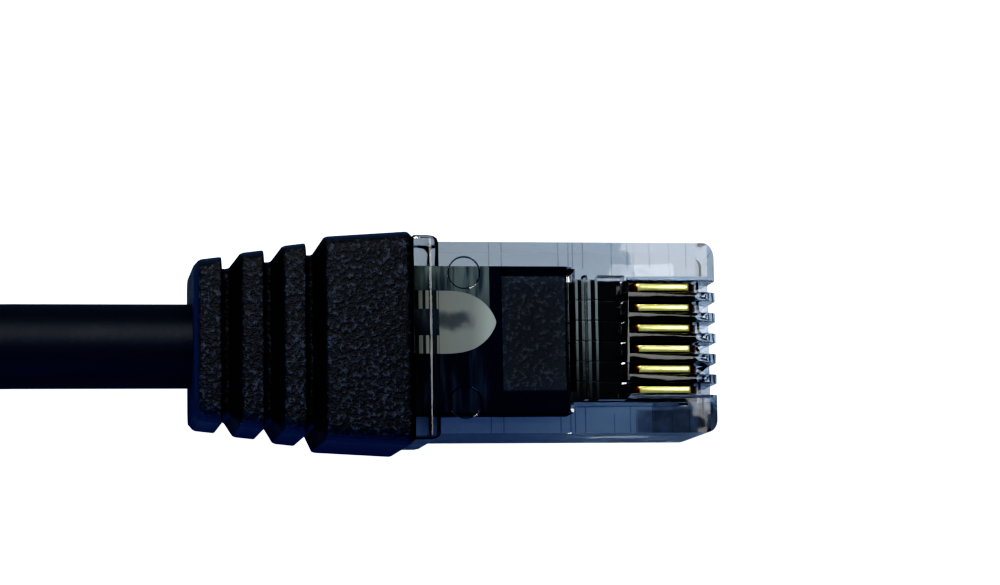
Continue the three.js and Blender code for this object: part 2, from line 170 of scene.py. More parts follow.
cable_line = smooth_line(route, 3)
cable_length = sum((b - a).length for a, b in zip(cable_line, cable_line[1:]))
cable = cord_curve("cable", cable_line, CABLE)


def new_group(name, inputs, outputs):
    """A shader node group with float or colour sockets; returns it with its input and output nodes."""
    group = bpy.data.node_groups.new(name, "ShaderNodeTree")
    for label, value in inputs.items():
        kind = "NodeSocketColor" if isinstance(value, tuple) else "NodeSocketFloat"
        socket = group.interface.new_socket(name=label, in_out="INPUT", socket_type=kind)
        socket.default_value = value
    for label, kind in outputs.items():
        group.interface.new_socket(name=label, in_out="OUTPUT", socket_type=kind)
    return group, group.nodes.new("NodeGroupInput"), group.nodes.new("NodeGroupOutput")


def link(tree, source, target):
    tree.links.new(source, target)


def math_node(tree, operation, *values):
    node = tree.nodes.new("ShaderNodeMath")
    node.operation = operation
    for socket, value in zip(node.inputs, values):
        if isinstance(value, (int, float)):
            socket.default_value = value
        else:
            link(tree, value, socket)
    return node.outputs[0]


def sum_of(tree, values):
    total = values[0]
    for value in values[1:]:
        total = math_node(tree, "ADD", total, value)
    return total


def noise_node(tree, scale, detail=2.0, vector=None):
    """Noise in the part's own metres; scale is a socket or a number of cells a metre."""
    node = tree.nodes.new("ShaderNodeTexNoise")
    node.inputs["Detail"].default_value = detail
    if isinstance(scale, (int, float)):
        node.inputs["Scale"].default_value = scale
    else:
        link(tree, scale, node.inputs["Scale"])
    if vector is None:
        vector = tree.nodes.new("ShaderNodeTexCoord").outputs["Object"]
    link(tree, vector, node.inputs["Vector"])
    return node.outputs["Fac"]


def ramp(tree, source, low, high):
    """A mask that rises from 0 at low to 1 at high."""
    node = tree.nodes.new("ShaderNodeMapRange")
    node.interpolation_type = "SMOOTHSTEP"
    link(tree, source, node.inputs["Value"])
    for label, value in (("From Min", low), ("From Max", high)):
        if isinstance(value, (int, float)):
            node.inputs[label].default_value = value
        else:
            link(tree, value, node.inputs[label])
    return node.outputs["Result"]


def mix_colour(tree, mask, first, second):
    node = tree.nodes.new("ShaderNodeMix")
    node.data_type = "RGBA"
    link(tree, mask, node.inputs["Factor"])
    for socket, value in ((node.inputs[6], first), (node.inputs[7], second)):
        if isinstance(value, tuple):
            socket.default_value = (*value[:3], 1)
        else:
            link(tree, value, socket)
    return node.outputs[2]


# Dust: sparse pale specks that lie on dark plastic
dust, dust_in, dust_out = new_group(
    "dust specks", {"Specks per metre": 900.0, "Speck Size": 0.1},
    {"Mask": "NodeSocketFloat"},
)
cells = dust.nodes.new("ShaderNodeTexVoronoi")
link(dust, dust.nodes.new("ShaderNodeTexCoord").outputs["Object"], cells.inputs["Vector"])
link(dust, dust_in.outputs["Specks per metre"], cells.inputs["Scale"])
near_speck = ramp(dust, cells.outputs["Distance"], dust_in.outputs["Speck Size"], 0.02)
chosen = ramp(dust, noise_node(dust, 700.0), 0.57, 0.6)
link(dust, math_node(dust, "MULTIPLY", near_speck, chosen), dust_out.inputs["Mask"])


def new_material(name, colour, roughness):
    material = bpy.data.materials.new(name)
    material.use_nodes = True
    tree = material.node_tree
    shader = tree.nodes["Principled BSDF"]
    shader.inputs["Base Color"].default_value = (*colour, 1)
    shader.inputs["Roughness"].default_value = roughness
    return material, tree, shader


def use_group(tree, group, **values):
    node = tree.nodes.new("ShaderNodeGroup")
    node.node_tree = group
    for label, value in values.items():
        node.inputs[label.replace("_", " ")].default_value = value
    return node


def add_bump(tree, shader, height, distance, strength=1.0):
    bump = tree.nodes.new("ShaderNodeBump")
    bump.inputs["Distance"].default_value = distance
    bump.inputs["Strength"].default_value = strength
    link(tree, height, bump.inputs["Height"])
    link(tree, bump.outputs["Normal"], shader.inputs["Normal"])


def jacket_material():
    material, tree, shader = new_material("cable jacket", (0.004, 0.008, 0.016), 0.5)
    shader.inputs["Specular IOR Level"].default_value = 0.3
    drawn = noise_node(tree, 260.0, 3.0)
    roughness = tree.nodes.new("ShaderNodeMapRange")
    link(tree, drawn, roughness.inputs["Value"])
    roughness.inputs["To Min"].default_value = 0.5
    roughness.inputs["To Max"].default_value = 0.62
    link(tree, roughness.outputs["Result"], shader.inputs["Roughness"])
    specks = use_group(tree, dust, Specks_per_metre=500.0, Speck_Size=0.07)
    colour = mix_colour(tree, specks.outputs["Mask"], (0.004, 0.008, 0.016), (0.16, 0.13, 0.11))
    link(tree, colour, shader.inputs["Base Color"])
    add_bump(tree, shader, noise_node(tree, 2600.0, 2.0), 0.00001)
    return material


cable.data.materials.append(jacket_material())
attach(cable, "root")
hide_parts("cable_lead", "cable_hank", "cable_tail")

# The boot is black PVC moulded over the rear of the plug: a block, then three ribs that get smaller
# towards the cable. Its outside is grained, and the same shot fills the plug's hollow and shows
# in the plug's strain relief window. The sizes in brackets are half width, floor and roof in mm.
BOOT_FRONT = -2.25 * MM
BLOCK_REAR = -6.49 * MM
BLOCK_FRONT_SIZE = (5.27, 0, 9.4)
BLOCK_REAR_SIZE = (5.02, 0, 9.13)
RIB_SIZES = [(4.65, 0.45, 8.9), (4.33, 0.75, 8.65), (4.03, 1.0, 8.4)]
RIB_SLOPE = 0.6 * MM
RIB_FLOOR = 0.36 * MM
RIB_LENGTH = 1.07 * MM
GROOVE_SIDE = 0.5 * MM
GROOVE_TOP = 0.95 * MM
RIB_TAPER = 0.06
BOOT_FRONT_EDGE = 0.25 * MM
BOOT_REAR_EDGE = 0.3 * MM
RIB_ROUNDING = 0.16 * MM
BOOT_CORNER = 0.85 * MM
CORE_HALF = 3.6 * MM
CORE_FLOOR = 3.6 * MM
CORE_ROOF = 7.5 * MM
CORE_FRONT = 5.75 * MM
CORE_STEP = 5.5 * MM
CORE_DROP = 0.9 * MM
WINDOW_REAR = 1.63 * MM
CONTACT_FILM = 0.02 * MM


def rounded_line(corners, radius, steps=4):
    """Corners as (x, in from the sides, in from top and bottom), each turned into a short curve."""
    line = [Vector(corners[0])]
    for before, corner, after in zip(corners, corners[1:], corners[2:]):
        before, corner, after = Vector(before), Vector(corner), Vector(after)
        back, on = before - corner, after - corner
        start = corner + back.normalized() * min(radius, back.length * 0.45)
        end = corner + on.normalized() * min(radius, on.length * 0.45)
        for k in range(steps + 1):
            t = k / steps
            line.append((1 - t) ** 2 * start + 2 * t * (1 - t) * corner + t * t * end)
    return line + [Vector(corners[-1])]


def section_ring(x, half, low, high, corner, steps=7):
    """Points of a rounded rectangle across the part."""
    ring = []
    for side, level, start in ((1, low, -90), (1, high, 0), (-1, high, 90), (-1, low, 180)):
        middle_y = side * (half - corner)
        middle_z = level + corner if level == low else level - corner
        for k in range(steps + 1):
            turn = math.radians(start + 90 * k / steps)
            ring.append(Vector((x, middle_y + corner * math.cos(turn), middle_z + corner * math.sin(turn))))
    return ring


def skin(name, rings):
    """A closed mesh piece through like rings, with a flat end on the first and last."""
    mesh = bmesh.new()
    rows = [[mesh.verts.new(p) for p in ring] for ring in rings]
    count = len(rows[0])
    for a, b in zip(rows, rows[1:]):
        for i in range(count):
            j = (i + 1) % count
            mesh.faces.new((a[i], a[j], b[j], b[i]))
    mesh.faces.new(rows[0])
    mesh.faces.new(rows[-1][::-1])
    bmesh.ops.recalc_face_normals(mesh, faces=mesh.faces)
    data = bpy.data.meshes.new(name)
    mesh.to_mesh(data)
    mesh.free()
    piece = bpy.data.objects.new(name, data)
    scene.collection.objects.link(piece)
    return piece


def shade_smooth(piece, angle=32):
    """Smooth shading that keeps edges sharper than the angle."""
    mesh = bmesh.new()
    mesh.from_mesh(piece.data)
    limit = math.radians(angle)
    for face in mesh.faces:
        face.smooth = True
    for edge in mesh.edges:
        edge.smooth = len(edge.link_faces) == 2 and edge.calc_face_angle(0) < limit
    mesh.to_mesh(piece.data)
    mesh.free()


def boot_piece():
    """The block and the ribs as one skin; each span has its front and rear size and its front and rear X."""
    spans = [(BLOCK_FRONT_SIZE, BLOCK_REAR_SIZE, BOOT_FRONT, BLOCK_REAR)]
    face = BLOCK_REAR
    for half, low, high in RIB_SIZES:
        face -= RIB_SLOPE + RIB_FLOOR
        front_size = (half + RIB_TAPER, low, high + RIB_TAPER)
        rear_size = (half - RIB_TAPER, low, high - RIB_TAPER)
        spans.append((front_size, rear_size, face, face - RIB_LENGTH))
        face -= RIB_LENGTH
    corners = [(BOOT_FRONT, BOOT_FRONT_EDGE, BOOT_FRONT_EDGE), (BOOT_FRONT - BOOT_FRONT_EDGE, 0, 0)]
    for number, (_, _, front, rear) in enumerate(spans):
        if number:
            corners.append((front, GROOVE_SIDE, GROOVE_TOP))
            corners.append((front, 0, 0))
        corners.append((rear, 0, 0))
        if number < len(spans) - 1:
            corners.append((rear - RIB_SLOPE, GROOVE_SIDE, GROOVE_TOP))
    corners.append((BOOT_REAR, BOOT_REAR_EDGE, BOOT_REAR_EDGE))
    rings = []
    for x, side_in, top_in in rounded_line(corners, RIB_ROUNDING):
        front_size, rear_size, front, rear = min(spans, key=lambda s: max(x - s[2], s[3] - x, 0))
        share = min(max((front - x) / (front - rear), 0), 1)
        half, low, high = (MM * (a + (b - a) * share) for a, b in zip(front_size, rear_size))
        rings.append(section_ring(x, half - side_in, low + top_in, high - top_in, BOOT_CORNER - side_in / 2))
    return skin("boot", rings)


def boot_core():
    """The compound inside the plug: it wets the clear walls, and drops in a step behind the cross bar."""
    film = CONTACT_FILM
    roof, ledge = CORE_ROOF + film, CORE_ROOF - CORE_DROP
    stations = [
        (BOOT_FRONT + film, roof), (CORE_STEP, roof), (CORE_STEP, ledge), (CORE_FRONT + film, ledge),
    ]
    return skin("boot_core", [
        section_ring(x, CORE_HALF + film, CORE_FLOOR - film, top, 0.05 * MM) for x, top in stations
    ])


# Grain: the leathery surface of a spark-eroded mould
grain, grain_in, grain_out = new_group(
    "mould grain", {"Grain Size mm": 0.25},
    {"Height": "NodeSocketFloat", "Peaks": "NodeSocketFloat"},
)
per_metre = math_node(grain, "DIVIDE", 1000.0, grain_in.outputs["Grain Size mm"])
coarse = noise_node(grain, per_metre, 2.0)
fine = noise_node(grain, math_node(grain, "MULTIPLY", per_metre, 2.7), 2.0)
wrinkled = sum_of(grain, [
    math_node(grain, "MULTIPLY", coarse, 0.7), math_node(grain, "MULTIPLY", fine, 0.3),
])
link(grain, wrinkled, grain_out.inputs["Height"])
link(grain, ramp(grain, wrinkled, 0.5, 0.66), grain_out.inputs["Peaks"])


def boot_material(name, grain_size, depth):
    material, tree, shader = new_material(name, (0.007, 0.009, 0.013), 0.6)
    shader.inputs["Specular IOR Level"].default_value = 0.4
    surface = use_group(tree, grain, Grain_Size_mm=grain_size)
    facing = tree.nodes.new("ShaderNodeNewGeometry")
    split = tree.nodes.new("ShaderNodeSeparateXYZ")
    link(tree, facing.outputs["True Normal"], split.inputs["Vector"])
    upward = ramp(tree, split.outputs["Z"], 0.6, 0.95)
    specks = use_group(tree, dust, Specks_per_metre=600.0, Speck_Size=0.06)
    grained = mix_colour(tree, surface.outputs["Peaks"], (0.001, 0.002, 0.004), (0.032, 0.043, 0.06))
    # Faces turned sideways, and everything from the boot's rear face backwards, are painted navy: a painted
    # reflection of the blue surround. The other smooth faces stay near black.
    sideways = ramp(tree, math_node(tree, "ABSOLUTE", split.outputs["Y"]), 0.5, 0.9)
    along = tree.nodes.new("ShaderNodeSeparateXYZ")
    link(tree, tree.nodes.new("ShaderNodeTexCoord").outputs["Object"], along.inputs["Vector"])
    rearmost = ramp(tree, along.outputs["X"], BOOT_REAR + MM / 2, BOOT_REAR)
    painted_reflection_faces = math_node(tree, "MAXIMUM", sideways, rearmost)
    smooth_face_painted_reflection = mix_colour(tree, painted_reflection_faces, (0.002, 0.003, 0.005), (0.012, 0.026, 0.058))
    body = mix_colour(tree, upward, smooth_face_painted_reflection, grained)
    link(tree, mix_colour(tree, specks.outputs["Mask"], body, (0.2, 0.2, 0.19)), shader.inputs["Base Color"])
    relief = math_node(tree, "ADD", math_node(tree, "MULTIPLY", upward, 0.75), 0.25)
    height = math_node(tree, "MULTIPLY", surface.outputs["Height"], relief)
    add_bump(tree, shader, height, depth)
    return material


boot = boot_piece()
shade_smooth(boot, 40)
boot.data.materials.append(boot_material("grained boot", 0.22, 0.00011))
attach(boot, "root")
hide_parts("moulded_boot")


def core_material():
    """Grained in the window, grey and streaky behind it, and black at the window's two ends. The grey behind
    it is painted light, lighter towards +Y, and the black strip along the window's rear edge is a painted
    shadow.
    """
    material, tree, shader = new_material("boot compound", (0.002, 0.003, 0.006), 0.7)
    split = tree.nodes.new("ShaderNodeSeparateXYZ")
    link(tree, tree.nodes.new("ShaderNodeTexCoord").outputs["Object"], split.inputs["Vector"])
    across = math_node(tree, "MULTIPLY", ramp(tree, split.outputs["Y"], -2.55 * MM, -2.45 * MM),
                       ramp(tree, split.outputs["Y"], 3.25 * MM, 3.15 * MM))
    in_window = math_node(tree, "MULTIPLY", ramp(tree, split.outputs["X"], 2.12 * MM, 2.16 * MM), across)
    behind = ramp(tree, split.outputs["X"], WINDOW_REAR + 0.03 * MM, WINDOW_REAR - 0.03 * MM)
    surface = use_group(tree, grain, Grain_Size_mm=0.2)
    streaks = tree.nodes.new("ShaderNodeMapping")
    streaks.inputs["Scale"].default_value = (3, 0.35, 1)
    link(tree, tree.nodes.new("ShaderNodeTexCoord").outputs["Object"], streaks.inputs["Vector"])
    streaky = ramp(tree, noise_node(tree, 900.0, 3.0, streaks.outputs["Vector"]), 0.45, 0.7)
    # Behind the window the upper side is painted lighter grey: painted light. Between WINDOW_REAR and the
    # start of the grain the compound stays black: a painted shadow band.
    upper = ramp(tree, split.outputs["Y"], -0.5 * MM, 3.2 * MM)
    lit = math_node(tree, "MULTIPLY", upper, behind)
    behind_with_painted_light = mix_colour(tree, lit, (0.001, 0.004, 0.012), (0.09, 0.105, 0.095))
    behind_with_painted_light = mix_colour(tree, math_node(tree, "MULTIPLY", streaky, behind), behind_with_painted_light, (0.02, 0.026, 0.034))
    grained = mix_colour(tree, surface.outputs["Peaks"], (0.009, 0.011, 0.014), (0.03, 0.035, 0.041))
    link(tree, mix_colour(tree, in_window, behind_with_painted_light, grained), shader.inputs["Base Color"])
    link(tree, math_node(tree, "MULTIPLY", in_window, 0.4), shader.inputs["Specular IOR Level"])
    add_bump(tree, shader, math_node(tree, "MULTIPLY", surface.outputs["Height"], in_window), 0.00007)
    return material


core = boot_core()
core.data.materials.append(core_material())
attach(core, "root")

# The pale tongue is a pre-moulded piece that holds the stripped cable end. It lies under the
# plug's top wall, off centre, and its root is forked where it passes the collar.
TONGUE_MIDDLE = 0.84 * MM
TONGUE_HALF = 1.56 * MM
TONGUE_END = 1.95 * MM
FORK_HALF = 0.65 * MM
FORK_END = -1 * MM
TONGUE_FLOOR = 6.5 * MM
TONGUE_STEPS = 16
HOLDING_BARS = ((-1.82 * MM, 0.12 * MM), (-1.5 * MM, 0.1 * MM))


def prism(name, outline, low, high):
    mesh = bmesh.new()
    top = [mesh.verts.new((x, y, high)) for x, y in outline]
    bottom = [mesh.verts.new((x, y, low)) for x, y in outline]
    mesh.faces.new(top)
    mesh.faces.new(bottom[::-1])
    for i in range(len(outline)):
        j = (i + 1) % len(outline)
        mesh.faces.new((top[j], top[i], bottom[i], bottom[j]))
    bmesh.ops.recalc_face_normals(mesh, faces=mesh.faces)
    data = bpy.data.meshes.new(name)
    mesh.to_mesh(data)
    mesh.free()
    piece = bpy.data.objects.new(name, data)
    scene.collection.objects.link(piece)
    return piece


def tongue_outline():
    sides = []
    for k in range(TONGUE_STEPS + 1):
        t = 1 - (1 - k / TONGUE_STEPS) ** 1.6
        sides.append((FORK_END + (TONGUE_END - FORK_END) * t, TONGUE_HALF * (1.001 - t**3.2) ** 0.72))
    upper = [(x, TONGUE_MIDDLE + h) for x, h in sides]
    lower = [(x, TONGUE_MIDDLE - h) for x, h in reversed(sides[:-1])]
    fork = [(BOOT_FRONT, TONGUE_MIDDLE - TONGUE_HALF), (BOOT_FRONT, TONGUE_MIDDLE - FORK_HALF),
            (FORK_END, TONGUE_MIDDLE - FORK_HALF), (FORK_END, TONGUE_MIDDLE + FORK_HALF),
            (BOOT_FRONT, TONGUE_MIDDLE + FORK_HALF), (BOOT_FRONT, TONGUE_MIDDLE + TONGUE_HALF)]
    return upper + lower + fork


def tongue_material():
    material, tree, shader = new_material("pale polyethylene", (0.24, 0.23, 0.2), 0.55)
    place = tree.nodes.new("ShaderNodeTexCoord").outputs["Object"]
    split = tree.nodes.new("ShaderNodeSeparateXYZ")
    link(tree, place, split.inputs["Vector"])
    away = tree.nodes.new("ShaderNodeVectorMath")
    away.operation = "DISTANCE"
    drawn_out = tree.nodes.new("ShaderNodeVectorMath")
    drawn_out.operation = "MULTIPLY"
    drawn_out.inputs[1].default_value = (0.42, 1, 0)
    link(tree, place, drawn_out.inputs[0])
    link(tree, drawn_out.outputs["Vector"], away.inputs[0])
    away.inputs[1].default_value = (-0.12 * MM, TONGUE_MIDDLE + 0.1 * MM, 0)
    rim = ramp(tree, away.outputs["Value"], 0.15 * MM, 0.95 * MM)
    cloudy = math_node(tree, "ADD", rim, math_node(tree, "MULTIPLY", noise_node(tree, 1600.0, 4.0), 0.9))
    shade = mix_colour(tree, ramp(tree, cloudy, 0.35, 1.15), (0.05, 0.055, 0.055), (0.15, 0.155, 0.135))
    tip = ramp(tree, split.outputs["X"], 0.6 * MM, 1.7 * MM)
    colour = mix_colour(tree, tip, shade, (0.22, 0.23, 0.19))
    bars = [
        ramp(tree, math_node(tree, "ABSOLUTE", math_node(tree, "SUBTRACT", split.outputs["X"], x)),
             half, half - 0.04 * MM)
        for x, half in HOLDING_BARS
    ]
    in_collar = ramp(tree, split.outputs["X"], -1.08 * MM, -1.14 * MM)
    held = math_node(tree, "SUBTRACT", in_collar, sum_of(tree, bars))
    link(tree, mix_colour(tree, held, colour, (0.012, 0.013, 0.012)), shader.inputs["Base Color"])
    shader.inputs["Specular IOR Level"].default_value = 0.1
    return material


tongue = prism("inner_tongue", tongue_outline(), TONGUE_FLOOR, CORE_ROOF + 1.6 * CONTACT_FILM)
tongue.data.materials.append(tongue_material())
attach(tongue, "root")
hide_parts("inner_filler")

# The plug body is one clear polycarbonate moulding, polished by its mould: walls, collar, contact
# comb and latch. Its edges are rounded a little, so that they catch the light.
HOUSING_EDGE = 0.12 * MM
PIN_MARK_EDGE = 0.03 * MM
PIN_MARKS = [Vector((0.25, side * 3.175, 9)) * MM for side in (-1, 1)]
PIN_MARK_RADIUS = 0.78 * MM
# Where the edges inside the plug show through its side walls; they are painted there as dark lines.
PAINTED_SIDE_LINES = [x * MM for x in (2.1, 5.64, 6.15, 8.38, 9.49, 11.33)]
COMB_EDGE = 0.2 * MM
COMB_REAR, COMB_FRONT = 8.7 * MM, 12.8 * MM


def carved(data, boxes):
    """The mesh with the boxes cut out of it."""
    cutters = bmesh.new()
    for ranges in boxes:
        made = bmesh.ops.create_cube(cutters, size=1)["verts"]
        for vertex in made:
            vertex.co = [sum(ends) / 2 + c * (ends[1] - ends[0]) for c, ends in zip(vertex.co, ranges)]
    tool_data = bpy.data.meshes.new("cutters")
    cutters.to_mesh(tool_data)
    cutters.free()
    tool = bpy.data.objects.new("cutters", tool_data)
    work = bpy.data.objects.new("work", data.copy())
    for piece in (tool, work):
        scene.collection.objects.link(piece)
    cut = work.modifiers.new("cut", "BOOLEAN")
    cut.operation = "DIFFERENCE"
    cut.solver = "EXACT"
    cut.object = tool
    bpy.context.view_layer.update()
    result = bpy.data.meshes.new_from_object(work.evaluated_get(bpy.context.evaluated_depsgraph_get()))
    for piece in (tool, work):
        bpy.data.objects.remove(piece, do_unlink=True)
    return result


def softened(node, name, width, segments=2, angle=35, special=(), smooth=True, grooves=()):
    """A copy of a CAD node's shape with its sharp edges rounded, which stands for the node.

    grooves are boxes cut out of it first, each as its ranges in X, Y and Z.
    special lists pairs: a test of an edge's middle, and the rounding of the edges that pass it.
    """
    mesh = bmesh.new()
    mesh.from_mesh(carved(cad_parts[node].data, grooves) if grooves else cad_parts[node].data)
    bmesh.ops.remove_doubles(mesh, verts=mesh.verts, dist=1e-7)
    bmesh.ops.dissolve_limit(mesh, angle_limit=math.radians(1), verts=mesh.verts, edges=mesh.edges)

    def kind(edge):
        middle = (edge.verts[0].co + edge.verts[1].co) / 2
        return next((i for i, (test, _) in enumerate(special) if test(middle)), len(special))

    for number, size in enumerate([size for _, size in special] + [width]):
        joined = [edge for edge in mesh.edges if len(edge.link_faces) == 2]
        sharp = [edge for edge in joined if edge.calc_face_angle(0) > math.radians(angle)]
        edges = [edge for edge in sharp if kind(edge) == number]
        bmesh.ops.bevel(mesh, geom=edges, offset=size, segments=segments, profile=0.5, affect="EDGES",
                        clamp_overlap=True, loop_slide=True)
    data = bpy.data.meshes.new(name)
    mesh.to_mesh(data)
    mesh.free()
    data.polygons.foreach_set("use_smooth", [smooth] * len(data.polygons))
    piece = bpy.data.objects.new(name, data)
    scene.collection.objects.link(piece)
    weigh = piece.modifiers.new("flat faces stay flat", "WEIGHTED_NORMAL")
    weigh.weight = 100
    bpy.context.view_layer.update()
    finished = piece.evaluated_get(bpy.context.evaluated_depsgraph_get())
    piece.data = bpy.data.meshes.new_from_object(finished)
    piece.modifiers.clear()
    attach(piece, "root")
    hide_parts(node)
    return piece


def clear_material():
    material, tree, shader = new_material("clear polycarbonate", (0.93, 0.965, 1.0), 0.03)
    shader.inputs["Transmission Weight"].default_value = 1
    shader.inputs["IOR"].default_value = 1.585
    add_bump(tree, shader, noise_node(tree, 420.0, 2.0), 0.00004, 0.35)
    place = tree.nodes.new("ShaderNodeTexCoord").outputs["Object"]
    # The rims of the two ejector pin marks are painted as thin dark rings: painted shade along their edges.
    rings = []
    for middle in PIN_MARKS:
        away = tree.nodes.new("ShaderNodeVectorMath")
        away.operation = "DISTANCE"
        link(tree, place, away.inputs[0])
        away.inputs[1].default_value = middle
        past_ring = math_node(tree, "SUBTRACT", away.outputs["Value"], PIN_MARK_RADIUS)
        rings.append(ramp(tree, math_node(tree, "ABSOLUTE", past_ring), 0.045 * MM, 0.02 * MM))
    ring = math_node(tree, "ADD", *rings)
    split = tree.nodes.new("ShaderNodeSeparateXYZ")
    link(tree, place, split.inputs["Vector"])
    # At the nose's -Y corner the clear plastic is tinted dark in streaks: a painted dark reflection.
    corner = math_node(tree, "MULTIPLY", ramp(tree, split.outputs["X"], 9.4 * MM, 9.6 * MM),
                       ramp(tree, split.outputs["Y"], -3.15 * MM, -3.3 * MM))
    painted_reflection_streaks = math_node(tree, "ADD", math_node(tree, "MULTIPLY", noise_node(tree, 1500.0, 3.0), 0.5), 0.45)
    painted_dark_reflection = math_node(tree, "MULTIPLY", corner, painted_reflection_streaks)
    tint = mix_colour(tree, painted_dark_reflection, (0.93, 0.965, 1.0), (0.02, 0.022, 0.025))
    # On the side walls, thin dark lines are painted where the edges inside show through: painted shade.
    beside = ramp(tree, math_node(tree, "ABSOLUTE", split.outputs["Y"]), 3.35 * MM, 3.45 * MM)
    lines = [
        ramp(tree, math_node(tree, "ABSOLUTE", math_node(tree, "SUBTRACT", split.outputs["X"], x)),
             0.035 * MM, 0.015 * MM)
        for x in PAINTED_SIDE_LINES
    ]
    line = math_node(tree, "MULTIPLY", math_node(tree, "MULTIPLY", beside, 0.55), sum_of(tree, lines))
    tint = mix_colour(tree, line, tint, (0.05, 0.06, 0.08))
    link(tree, mix_colour(tree, ring, tint, (0.02, 0.025, 0.03)), shader.inputs["Base Color"])
    light = tree.nodes.new("ShaderNodeLightPath")
    through = tree.nodes.new("ShaderNodeBsdfTransparent")
    through.inputs["Color"].default_value = (0.88, 0.92, 0.96, 1)
    mixed = tree.nodes.new("ShaderNodeMixShader")
    link(tree, light.outputs["Is Shadow Ray"], mixed.inputs["Fac"])
    link(tree, shader.outputs["BSDF"], mixed.inputs[1])
    link(tree, through.outputs["BSDF"], mixed.inputs[2])
    link(tree, mixed.outputs["Shader"], tree.nodes["Material Output"].inputs["Surface"])
    return material


def in_pin_mark(place):
    return any((place - middle).length < PIN_MARK_RADIUS + 0.12 * MM for middle in PIN_MARKS)


def on_comb(place):
    return abs(place.y) < 3.1 * MM and COMB_REAR < place.x < COMB_FRONT and place.z > 8.9 * MM


housing = softened("plug_housing", "clear_housing", HOUSING_EDGE, special=(
    (in_pin_mark, PIN_MARK_EDGE), (on_comb, COMB_EDGE),
))
housing.data.materials.clear()
housing.data.materials.append(clear_material())

# The six contacts are stamped phosphor bronze blades, gold plated, pressed into the comb, and
# under each lies the black insulated conductor that its teeth have pierced.
BLADE_EDGE = 0.025 * MM
# How far the painted dark reflection reaches in from each end of a blade.
PAINTED_DARK_REAR = 0.4 * MM
PAINTED_DARK_FRONT = 0.35 * MM
PITCH = 1.016 * MM
CONDUCTOR_FRONT = 12.1 * MM
CONDUCTOR_HALF = 0.506 * MM
CONDUCTOR_LEVELS = (5.29 * MM, 6.37 * MM)
SEEN_BARS = (5.97 * MM, 6.62 * MM)


def gold_material(name, reach):
    """Gold with its ends and sides painted brown, a painted dark reflection; reach is the two corners of the
    piece's box.
    """
    material, tree, shader = new_material(name, (1.0, 0.86, 0.3), 0.2)
    shader.inputs["Metallic"].default_value = 1
    rolled = noise_node(tree, 2500.0, 3.0)
    roughness = tree.nodes.new("ShaderNodeMapRange")
    link(tree, rolled, roughness.inputs["Value"])
    roughness.inputs["To Min"].default_value = 0.17
    roughness.inputs["To Max"].default_value = 0.25
    link(tree, roughness.outputs["Result"], shader.inputs["Roughness"])
    colour = mix_colour(tree, ramp(tree, rolled, 0.3, 0.7), (1.0, 0.93, 0.34), (1.0, 0.98, 0.44))
    # Sloped ends and sides are painted brown: a painted dark reflection.
    facing = tree.nodes.new("ShaderNodeSeparateXYZ")
    link(tree, tree.nodes.new("ShaderNodeNewGeometry").outputs["Normal"], facing.inputs["Vector"])
    flat = ramp(tree, facing.outputs["Z"], 0.6, 0.85)
    split = tree.nodes.new("ShaderNodeSeparateXYZ")
    link(tree, tree.nodes.new("ShaderNodeTexCoord").outputs["Object"], split.inputs["Vector"])
    low, high = reach
    rear_edge, front_edge = low.x + PAINTED_DARK_REAR, high.x - PAINTED_DARK_FRONT
    bright = math_node(tree, "MULTIPLY", ramp(tree, split.outputs["X"], rear_edge, rear_edge + 0.1 * MM),
                       ramp(tree, split.outputs["X"], front_edge, front_edge - 0.1 * MM))
    plain_gold_mask = math_node(tree, "MULTIPLY", flat, bright)
    link(tree, mix_colour(tree, plain_gold_mask, (0.16, 0.07, 0.015), colour), shader.inputs["Base Color"])
    add_bump(tree, shader, noise_node(tree, 9000.0, 2.0), 0.0000015, 0.5)
    return material


def wire_material():
    material, tree, shader = new_material("wire insulation", (0.003, 0.003, 0.004), 0.5)
    shader.inputs["Specular IOR Level"].default_value = 0.05
    shade = mix_colour(tree, noise_node(tree, 1500.0, 2.0), (0.001, 0.001, 0.002), (0.008, 0.007, 0.007))
    split = tree.nodes.new("ShaderNodeSeparateXYZ")
    link(tree, tree.nodes.new("ShaderNodeTexCoord").outputs["Object"], split.inputs["Vector"])
    # Under the two clear cross bars the black insulation is painted grey, lighter towards +Y: painted light
    # standing in for the light in the bars.
    under_bars = [
        ramp(tree, math_node(tree, "ABSOLUTE", math_node(tree, "SUBTRACT", split.outputs["X"], middle)),
             0.22 * MM, 0.18 * MM)
        for middle in SEEN_BARS
    ]
    lit = ramp(tree, split.outputs["Y"], -3.6 * MM, 2 * MM)
    grey = math_node(tree, "MULTIPLY", sum_of(tree, under_bars), lit)
    shade = mix_colour(tree, grey, shade, (0.16, 0.175, 0.165))
    link(tree, shade, shader.inputs["Base Color"])
    return material


gold = gold_material("gold plate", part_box("contact_1"))
wire = wire_material()
for number in range(1, 7):
    blade = softened(f"contact_{number}", f"gold_contact_{number}", BLADE_EDGE, angle=50, smooth=False)
    blade.data.materials.clear()
    blade.data.materials.append(gold)
    middle = (3.5 - number) * PITCH
    rings = [
        section_ring(x, CONDUCTOR_HALF, *CONDUCTOR_LEVELS, 0.1 * MM)
        for x in (CORE_FRONT + 0.05 * MM, CONDUCTOR_FRONT)
    ]
    conductor = skin(f"pressed_conductor_{number}", [
        [point + Vector((0, middle, 0)) for point in ring] for ring in rings
    ])
    conductor.data.materials.append(wire)
    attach(conductor, "root")
    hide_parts(f"conductor_{number}")

# The strap is a black woven tape. It goes once round the waist of the hank, is closed on itself
# and holds the turns together.


